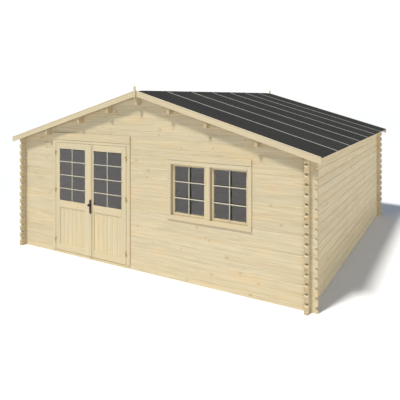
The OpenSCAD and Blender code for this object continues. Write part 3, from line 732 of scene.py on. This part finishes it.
pc = Piece("door_sill")
x0, x1 = ROUGH_DL + 1, ROUGH_DR - 1
pr = [(YF - 5, 1.5), (YF - 3.5, 0), (FRAME_YB - 1.5, 0), (FRAME_YB, 1.5), (FRAME_YB, 44.5), (FRAME_YB - 1.5, 46), (YF - 1, 46), (YF - 5, 42)]
prism(pc, pr, (x0, 0, 0), (1, 0, 0), (0, 1, 0), (0, 0, 1), x1 - x0, 1.0)
board(pc, (JL + 20.5, STOP_Y, 46.1), (JR - 20.5, FRAME_YB, 66), "x", "y", 2.0)
pc.make("shed", "frame_wood", JOIN, "door_threshold")

pc = Piece("door_face_trim")
board(pc, (JL - TRIM_W, LEAF_Y, 46.5), (JL, YF, HEAD_Z1 - 0.2), "z", "y", 2.0)
board(pc, (JR, LEAF_Y, 46.5), (JR + TRIM_W, YF, HEAD_Z1 - 0.2), "z", "y", 2.0)
board(pc, (JL - TRIM_W, LEAF_Y - 4, HEAD_Z1 + 3.6), (JR + TRIM_W, YF, HEAD_Z1 + 0.2 + HEAD_TRIM), "x", "y", 2.5)
pc.make("shed", "trim_wood", TRIM, "door_trim")


# ---- hinges ------------------------------------------------------------------------
def hinge(pc, x, d, z, up):
    """Half a hinge: a barrel with a domed end and a flag with two screws. up is the half on the leaf."""
    h, r = 34.5, HINGE_R
    o = (x, HINGE_Y, z + 0.5 if up else z - 0.5)
    ax = (0, 0, 1 if up else -1)
    prof = [(0, 0), (r - 0.5, 0), (r, 0.5), (r, h - 7), (r - 0.6, h - 6.5), (r - 0.6, h - 5.7), (r, h - 5.2), (r, h - 3), (r - 0.9, h - 1.2), (r - 2.6, h - 0.3), (r - 5, h), (0, h)]
    lathe(pc, prof, o, ax, 28)
    za, zb = (z + 2.5, z + 33) if up else (z - 33, z - 2.5)
    xa, xb = min(x + d * 4, x + d * 24), max(x + d * 4, x + d * 24)
    board(pc, (xa, LEAF_Y - 3, za), (xb, LEAF_Y, zb), "z", "y", 0.8)
    for zz in (za + 7, zb - 7):
        lathe(pc, [(0, 0), (3.4, 0), (3.4, 0.5), (2.6, 1.1), (0.5, 1.2), (0, 0.7)], (x + d * 15, LEAF_Y - 2.9, zz), (0, -1, 0), 16)


pc = Piece("hinges_on_jambs")
for z in HINGE_ZS:
    hinge(pc, L0 - RUN / 2, -1, z, False)
    hinge(pc, R1 + RUN / 2, 1, z, False)
pc.make("shed", "hinge_metal", HINGE, "jamb_hinges", sharp=35)


# ---- door leaves ---------------------------------------------------------------------
DOOR_BARS = (1537.5, 1314.5, 1091.0)


def bar_grid(pc, x0, x1, z0, z1, zs, yb, yo, lap, width=12.8, behind=0.0):
    """Bars between x0..x1 and z0..z1, standing between planes yo (outer) and yb, lapped over the rims by lap."""
    xm = (x0 + x1) / 2
    h = width / 2
    cuts = sorted(zs)
    prof = [(-h, 0), (h, 0), (h, (yb - yo) * 0.55), (h - 2.6, yb - yo), (-h + 2.6, yb - yo), (-h, (yb - yo) * 0.55)]
    s = 1 if yb > yo else -1
    prof = [(p[0], abs(p[1])) for p in prof]
    for z in zs:   # whole bars across
        prism(pc, prof, (x0 - lap, yb, z), (1, 0, 0), (0, 0, 1 if s > 0 else -1), (0, -s, 0), x1 - x0 + 2 * lap, 0.8)
    ends = [z0 - lap * 0.6] + [z for c in cuts for z in (c - h, c + h)] + [z1 + lap * 0.6]
    if behind:   # one whole upright behind the bars across
        pr = [(-h, 0), (h, 0), (h, behind), (-h, behind)]
        prism(pc, pr, (xm, yb + 0.1 + behind, z0 + 0.3), (0, 0, 1), (-1, 0, 0), (0, -1, 0), z1 - z0 - 0.6, 0.0)
        return
    for a, b in zip(ends[::2], ends[1::2]):   # short uprights between them
        prism(pc, prof, (xm, yb, a), (0, 0, 1), (-1 if s > 0 else 1, 0, 0), (0, -s, 0), b - a, 0.0)


def leaf(side, body, x0, x1):
    a, b = x0 + STILE_W, x1 - STILE_W
    pc = Piece(side + "_door_stiles")
    for p, q in ((x0, a), (b, x1)):
        board(pc, (p, LEAF_Y, LEAF_Z0), (q, LEAF_YB, LEAF_Z1), "z", "y", 2.0)
    pc.make(body, "frame_wood", JOIN, side + "_leaf_stiles")
    pc = Piece(side + "_door_rails")
    for z0, z1 in ((LEAF_Z0, PAN_Z0), (PAN_Z1, DG_Z0), (DG_Z1, LEAF_Z1)):
        board(pc, (a + 0.2, LEAF_Y, z0), (b - 0.2, LEAF_YB, z1), "x", "y", 2.0)
    pc.make(body, "frame_wood", JOIN, side + "_leaf_rails")
    # boarded panel: six upright boards with V joints on both faces
    pc = Piece(side + "_door_panel_boards")
    n, ya, yb = 6, LEAF_Y + 12, LEAF_YB - 12
    w = (b - a) / n
    for i in range(n):
        p, q = a + w * i + 0.25, a + w * (i + 1) - 0.25
        v = 3.2
        pr = [(p, ya + v), (p + v, ya), (q - v, ya), (q, ya + v), (q, yb - v), (q - v, yb), (p + v, yb), (p, yb - v)]
        prism(pc, pr, (0, 0, PAN_Z0), (0, 0, 1), (1, 0, 0), (0, 1, 0), PAN_Z1 - PAN_Z0, 0.0)
    pc.make(body, "panel_wood", PANEL, side + "_leaf_panel")
    # panel and glazing beads
    pc = Piece(side + "_door_beads")
    for (z0, z1, y0, s) in ((PAN_Z0, PAN_Z1, ya, -1), (PAN_Z0, PAN_Z1, yb, 1), (DG_Z0, DG_Z1, LEAF_Y + 10, 1)):
        d, wd = (9.0, 9.0) if z0 == PAN_Z0 else (16.0, 12.0)
        bead_frame(pc, a, b, z0, z1, y0, s, wd, d)
    pc.make(body, "trim_wood", TRIM)
    pc = Piece(side + "_door_glazing")
    board(pc, (a + 0.4, LEAF_Y + 6, DG_Z0 + 0.4), (b - 0.4, LEAF_Y + 10, DG_Z1 - 0.4), "z", "y", 0.4)
    pc.make(body, "glass", GLASS, side + "_leaf_glass")
    pc = Piece(side + "_door_glass_bars")
    bar_grid(pc, a, b, DG_Z0, DG_Z1, DOOR_BARS, LEAF_Y - 0.1, LEAF_Y - 8, 18.0, behind=5.8)
    pc.make(body, "trim_wood", BARS)
    pc = Piece(side + "_door_hinges")
    for z in HINGE_ZS:
        if side == "left":
            hinge(pc, L0 - RUN / 2, 1, z, True)
        else:
            hinge(pc, R1 + RUN / 2, -1, z, True)
    pc.make(body, "hinge_metal", HINGE, side + "_leaf_hinges", sharp=35)


def bead_frame(pc, x0, x1, z0, z1, y, s, w, d):
    """Four mitred beads round an opening, lying on the plane y and standing out along s."""
    c = min(w, d) * 0.55
    # section: p along the opening's inside, q along s
    sec = [(0, 0), (w, 0), (w, d - c), (w - c * 0.35, d - c * 0.35), (w - c, d), (0, d)]
    for grain, o, ax_in, corners in (
        ("x", z0, 1, (x0, x1)), ("x", z1, -1, (x0, x1)), ("z", x0, 1, (z0, z1)), ("z", x1, -1, (z0, z1))):
        verts = []
        for e, sgn in ((corners[0], 1), (corners[1], -1)):
            for p, q in sec:
                inn, run, yy = o + ax_in * p, e + sgn * p, y + s * q
                verts.append((run, yy, inn) if grain == "x" else (inn, yy, run))
        k = len(sec)
        faces = [list(range(k)), [k + i for i in range(k)][::-1]]
        for i in range(k):
            j = (i + 1) % k
            faces.append([i, k + i, k + j, j])
        # turn the faces outward
        vv = np.asarray(verts)
        mid = vv.mean(0)
        f = faces[2]
        nn = np.cross(vv[f[1]] - vv[f[0]], vv[f[2]] - vv[f[0]])
        if nn @ (vv[f].mean(0) - mid) < 0:
            faces = [g[::-1] for g in faces]
        pc.add(verts, faces, grain=UNIT[grain], side=UNIT["y"])


leaf("left", "left_leaf", L0, L1)
leaf("right", "right_leaf", R0, R1)

pc = Piece("door_meeting_strip")
y0, y1 = LEAF_Y - AST, LEAF_Y - 0.05
pr = [(R0, y1), (R0, y0 + 5)] + arc(R0 + 5, y0 + 5, 5, 180, 270, 5)[1:] + arc(R0 + AST_W - 5, y0 + 5, 5, 270, 360, 5) + [(R0 + AST_W, y1)]
area = sum(p[0] * q[1] - q[0] * p[1] for p, q in zip(pr, pr[1:] + pr[:1]))
prism(pc, pr if area > 0 else pr[::-1], (0, 0, LEAF_Z0 + 8), (0, 0, 1), (1, 0, 0), (0, 1, 0), LEAF_Z1 - LEAF_Z0 - 16, 0.6)
pc.make("right_leaf", "trim_wood", TRIM, "meeting_strip")

# ---- lock ---------------------------------------------------------------------------
def long_plate(pc, y0, y1, out):
    top, bot = PLATE_Z + 92, PLATE_Z - 92
    pts = arc(top, LOCK_X, 23, -90, 90, 14) + arc(bot, LOCK_X, 23, 90, 270, 14)   # (z, x)
    plate(pc, pts, (0, y0, 0), (0, 0, 1), (1, 0, 0), (0, 1, 0), y1 - y0, 1.0, grain=(0, 0, 1), side=(1, 0, 0))
    # screws and the key's rose
    for zz in (top + 8, bot - 8):
        lathe(pc, [(0, 0), (3.8, 0), (3.8, 0.6), (2.8, 1.4), (0.6, 1.5), (0, 0.9)], (LOCK_X, y0 if out < 0 else y1, zz), (0, out, 0), 18)
    lathe(pc, [(0, 0), (9.5, 0), (9.5, 0.8), (8.6, 1.4), (5.5, 1.5), (0, 1.5)], (LOCK_X, y0 if out < 0 else y1, KEY_Z), (0, out, 0), 28)


pc = Piece("lock_long_plates")
long_plate(pc, LEAF_Y - AST - 3, LEAF_Y - AST, -1)
long_plate(pc, LEAF_YB, LEAF_YB + 3, 1)
pc.make("right_leaf", "lock_metal", LOCK, "lock_plates", sharp=35)

# the keyholes are thin near-black shapes on the roses: painted shade standing in for the dark inside of a hole
pc = Piece("lock_keyholes")
key = arc(0, 3.2, 3.1, -60, 240, 14) + [(-1.9, -7.5), (1.9, -7.5)]    # (x, z) seen from the front
for y0, n in ((LEAF_Y - AST - 4.5, -1), (LEAF_YB + 4.5, 1)):
    pts = [(KEY_Z + q, LOCK_X + p) for p, q in key]
    area = sum(p[0] * q[1] - q[0] * p[1] for p, q in zip(pts, pts[1:] + pts[:1]))
    plate(pc, pts if area > 0 else pts[::-1], (0, y0 - 0.15, 0), (0, 0, 1), (1, 0, 0), (0, 1, 0), 0.3, 0.05, grain=(0, 0, 1), side=(1, 0, 0))
pc.make("right_leaf", "lock_metal", KEYHOLE_SHADE)

pc = Piece("door_round_knob")
kn = [(0, 0), (15, 0), (15, 2.6), (13.8, 4.0), (10.5, 5.2), (9.2, 7), (9, 12), (9, 18), (9.8, 21), (12, 23.4), (15.4, 25.8), (18.4, 29), (20.6, 32.6), (21.8, 36.4), (22, 39.6), (21.4, 43), (19.8, 46), (17, 48.9), (13, 51), (8, 52.4), (3, 52.9), (0, 53)]
lathe(pc, kn, (LOCK_X, LEAF_Y - AST - 3, KNOB_Z), (0, -1, 0), 48)
pc.make("right_leaf", "lock_metal", LOCK, "door_knob", sharp=50)


def lever_piece():
    """A bent bar: out from its rose, then along the door, ending in a rounded tip."""
    pc = Piece("inside_lever_handle")
    y0 = LEAF_YB + 3.5
    lathe(pc, [(0, 0), (15, 0), (15, 3), (13.5, 5), (9.2, 6.5), (0, 6.5)], (LOCK_X, y0, KNOB_Z), (0, 1, 0), 36)
    path = [(LOCK_X, y0 + 4), (LOCK_X, y0 + 26)]
    path += [(LOCK_X + 14 - 14 * math.cos(t), y0 + 26 + 14 * math.sin(t)) for t in np.linspace(0.2, math.pi / 2, 8)]
    path += [(LOCK_X + x, y0 + 40) for x in (30, 50, 72, 92, 102, 107, 110, 111.6)]
    half_h = [9, 9] + [9] * 8 + [8.6, 8.0, 7.8, 8.4, 8.6, 8.0, 6.2, 2.6]
    half_t = [9, 9] + list(np.linspace(8.6, 6.2, 8)) + [5.8, 5.6, 5.6, 5.8, 5.8, 5.4, 4.2, 1.8]
    k = 20
    verts, faces = [], []
    for i, (x, y) in enumerate(path):
        p0, p1 = path[max(0, i - 1)], path[min(len(path) - 1, i + 1)]
        tx, ty = unit((p1[0] - p0[0], p1[1] - p0[1]))
        nx, ny = -ty, tx
        for j in range(k):
            t = 2 * math.pi * j / k
            verts.append((x + nx * half_t[i] * math.cos(t), y + ny * half_t[i] * math.cos(t), KNOB_Z + half_h[i] * math.sin(t)))
    for i in range(len(path) - 1):
        for j in range(k):
            m = (j + 1) % k
            faces.append([i * k + j, (i + 1) * k + j, (i + 1) * k + m, i * k + m])
    faces.append(list(range(k)))
    faces.append([(len(path) - 1) * k + j for j in range(k)][::-1])
    vv = np.asarray(verts)
    f = faces[0]
    nn = np.cross(vv[f[1]] - vv[f[0]], vv[f[2]] - vv[f[0]])
    if nn @ (vv[f].mean(0) - vv[:k].mean(0)) < 0:
        faces = [g[::-1] for g in faces]
    pc.add(verts, faces, smooth=True)
    return pc.make("lever", "lock_metal", LOCK, "inside_lever", sharp=50)


lever_piece()

# ---- window -----------------------------------------------------------------------
pc = Piece("window_frame_posts")
board(pc, (WL - WJT, YF + 0.5, RWZ0 + 2), (WL, WIN_YB, RWZ1 - 2), "z", "x", 1.5)
board(pc, (WR, YF + 0.5, RWZ0 + 2), (WR + WJT, WIN_YB, RWZ1 - 2), "z", "x", 1.5)
board(pc, (WX - MUL / 2, LEAF_Y, WZ0 + 0.5), (WX + MUL / 2, WIN_YB, WZ1 - 0.5), "z", "y", 2.0)
pc.make("shed", "frame_wood", JOIN, "window_jambs")
pc = Piece("window_frame_rails")
board(pc, (WL + 0.5, YF + 0.5, RWZ0 + 2), (WR - 0.5, WIN_YB, WZ0), "x", "z", 1.5)
board(pc, (WL + 0.5, LEAF_Y, WZ1), (WR - 0.5, WIN_YB, RWZ1 - 2), "x", "z", 1.5)
pc.make("shed", "frame_wood", JOIN, "window_rails")
pc = Piece("window_face_trim")
l, r, zt = WL - WTRIM, WR + WTRIM, RWZ1 - 2
board(pc, (l, LEAF_Y, WZ0), (WL, YF, zt), "z", "y", 2.0)
board(pc, (WR, LEAF_Y, WZ0), (r, YF, zt), "z", "y", 2.0)
board(pc, (l, LEAF_Y - 4, zt + 2.8), (r, YF, zt + 89), "x", "y", 2.5)
board(pc, (l, LEAF_Y - 4, WZ0 - 60), (r, YF, WZ0 - 0.3), "x", "y", 2.5)
pc.make("shed", "trim_wood", TRIM, "window_trim")

stiles, rails, panes, bars, beads = (Piece("sash_" + n) for n in ("uprights", "crosspieces", "panes", "glass_bars", "beads"))
WIN_BARS = (1402.5, 1169.5)
for x0, x1 in SASHES:
    z0, z1 = WZ0 + SASH_G, WZ1 - SASH_G
    a, b, ga, gb = x0 + SASH_W, x1 - SASH_W, z0 + SASH_R, z1 - SASH_R
    board(stiles, (x0, SASH_Y, z0), (a, SASH_Y + SASH_T, z1), "z", "y", 2.0)
    board(stiles, (b, SASH_Y, z0), (x1, SASH_Y + SASH_T, z1), "z", "y", 2.0)
    board(rails, (a + 0.2, SASH_Y, z0), (b - 0.2, SASH_Y + SASH_T, ga), "x", "y", 2.0)
    board(rails, (a + 0.2, SASH_Y, gb), (b - 0.2, SASH_Y + SASH_T, z1), "x", "y", 2.0)
    board(panes, (a + 0.4, SASH_Y + 24, ga + 0.4), (b - 0.4, SASH_Y + 28, gb - 0.4), "z", "y", 0.4)
    bar_grid(bars, a, b, ga, gb, WIN_BARS, SASH_Y - 0.1, SASH_Y - 8, 16.0)
    bar_grid(bars, a, b, ga, gb, WIN_BARS, SASH_Y + 9, SASH_Y - 0.1, 0.0)
    bead_frame(beads, a, b, ga, gb, SASH_Y + 28.1, 1, 10.0, 11.0)
stiles.make("shed", "frame_wood", JOIN, "sash_stiles")
rails.make("shed", "frame_wood", JOIN, "sash_rails")
panes.make("shed", "glass", GLASS, "window_glass")
bars.make("shed", "trim_wood", BARS)
beads.make("shed", "trim_wood", TRIM)

# ---- floor ------------------------------------------------------------------------
pc = Piece("floor_planks")
xa, xb, ya, yb = -HW + LOG_T + 8, HW - LOG_T - 8, FRAME_YB + 8, HD - LOG_T - 8
n = 53
w = (xb - xa) / n
for i in range(n):
    p, q = xa + w * i + 0.3, xa + w * (i + 1) - 0.3
    v = 1.2
    z0, z1 = BEARER_H, BEARER_H + FLOOR_T
    pr = [(z0, p), (z1 - v, p), (z1, p + v), (z1, q - v), (z1 - v, q), (z0, q)]      # (z, x)
    area = sum(g[0] * h[1] - h[0] * g[1] for g, h in zip(pr, pr[1:] + pr[:1]))
    prism(pc, pr if area > 0 else pr[::-1], (0, ya, 0), (0, 1, 0), (0, 0, 1), (1, 0, 0), yb - ya, 0.0)
pc.make("shed", "roof_wood", ROOFW, "floor_boards")
pc = Piece("floor_bearer_beams")
for i in range(7):
    yc = ya + 30 + i * (yb - ya - 60) / 6
    board(pc, (xa, yc - 29, 0), (xb, yc + 29, BEARER_H - 0.1), "x", "z", 1.5)
pc.make("shed", "roof_wood", ROOFW, "floor_bearers")

# ---- stage, light and camera ----------------------------------------------------------
scene = bpy.context.scene
scene.view_settings.view_transform = "Standard"

fm = bpy.data.meshes.new("ground_sheet")
R = 70.0
fm.from_pydata([(R * math.cos(t), R * math.sin(t), -0.0005) for t in (2 * math.pi * i / 64 for i in range(64))], [], [list(range(64))])
ground = bpy.data.objects.new("ground_sheet", fm)
scene.collection.objects.link(ground)
gm = bpy.data.materials.new("pale_floor")
gm.use_nodes = True
t = Tree(gm.node_tree)
bs = gm.node_tree.nodes["Principled BSDF"]
t.put(bs.inputs["Base Color"], t.mix(t.noise(t.node("ShaderNodeTexCoord").outputs["Object"], 0.8, 2.0)[0], col(0.921, 0.916, 0.927), col(0.935, 0.930, 0.941)))
bs.inputs["Roughness"].default_value = 0.9
bs.inputs["Specular IOR Level"].default_value = 0.1
fm.materials.append(gm)

world = bpy.data.worlds.new("studio")
scene.world = world
world.use_nodes = True
wt = world.node_tree
wt.nodes.clear()
t = Tree(wt)
lp = t.node("ShaderNodeLightPath")
bg1, bg2 = t.node("ShaderNodeBackground"), t.node("ShaderNodeBackground")
bg1.inputs["Color"].default_value = col(0.62, 0.85, 1.19)
bg1.inputs["Strength"].default_value = 0.228
bg2.inputs["Color"].default_value = col(1.0, 1.0, 1.0)
bg2.inputs["Strength"].default_value = 1.05
mx = t.node("ShaderNodeMixShader")
t.put(mx.inputs[0], lp.outputs["Is Camera Ray"])
t.put(mx.inputs[1], bg1.outputs[0])
t.put(mx.inputs[2], bg2.outputs[0])
t.put(t.node("ShaderNodeOutputWorld").inputs["Surface"], mx.outputs[0])


def sun(name, travel, strength, angle, colour):
    d = bpy.data.lights.new(name, "SUN")
    d.energy = strength
    d.angle = math.radians(angle)
    d.color = colour
    ob = bpy.data.objects.new(name, d)
    ob.rotation_mode = "QUATERNION"
    ob.rotation_quaternion = Vector(travel).to_track_quat("-Z", "Y")
    ob.location = (0, 0, 12)
    scene.collection.objects.link(ob)
    return ob


sun("key", (0.355, 1.0, -1.84), 3.22, 8.0, (1.0, 0.975, 0.922))
sun("fill_right", (-1.0, -0.15, -0.07), 1.10, 8.0, (1.0, 0.935, 0.815)).visible_glossy = False
sun("fill_front", (-0.5, 1.0, -0.12), 0.66, 14.0, (1.0, 0.985, 0.95)).visible_glossy = False
sun("fill_back", (1.0, -0.8, -0.12), 0.75, 14.0, (1.0, 0.97, 0.90)).visible_glossy = False

cam = bpy.data.cameras.new("camera")
cam.sensor_width = 36.0
cam.lens = 40.22
cam.shift_x = -0.0134
cam.shift_y = -0.258
cam.clip_end = 300.0
co = bpy.data.objects.new("camera", cam)
co.location = (4.1568, -7.9324, 2.6171)
co.rotation_euler = (math.radians(90), 0, math.radians(29.535))
scene.collection.objects.link(co)
scene.camera = co
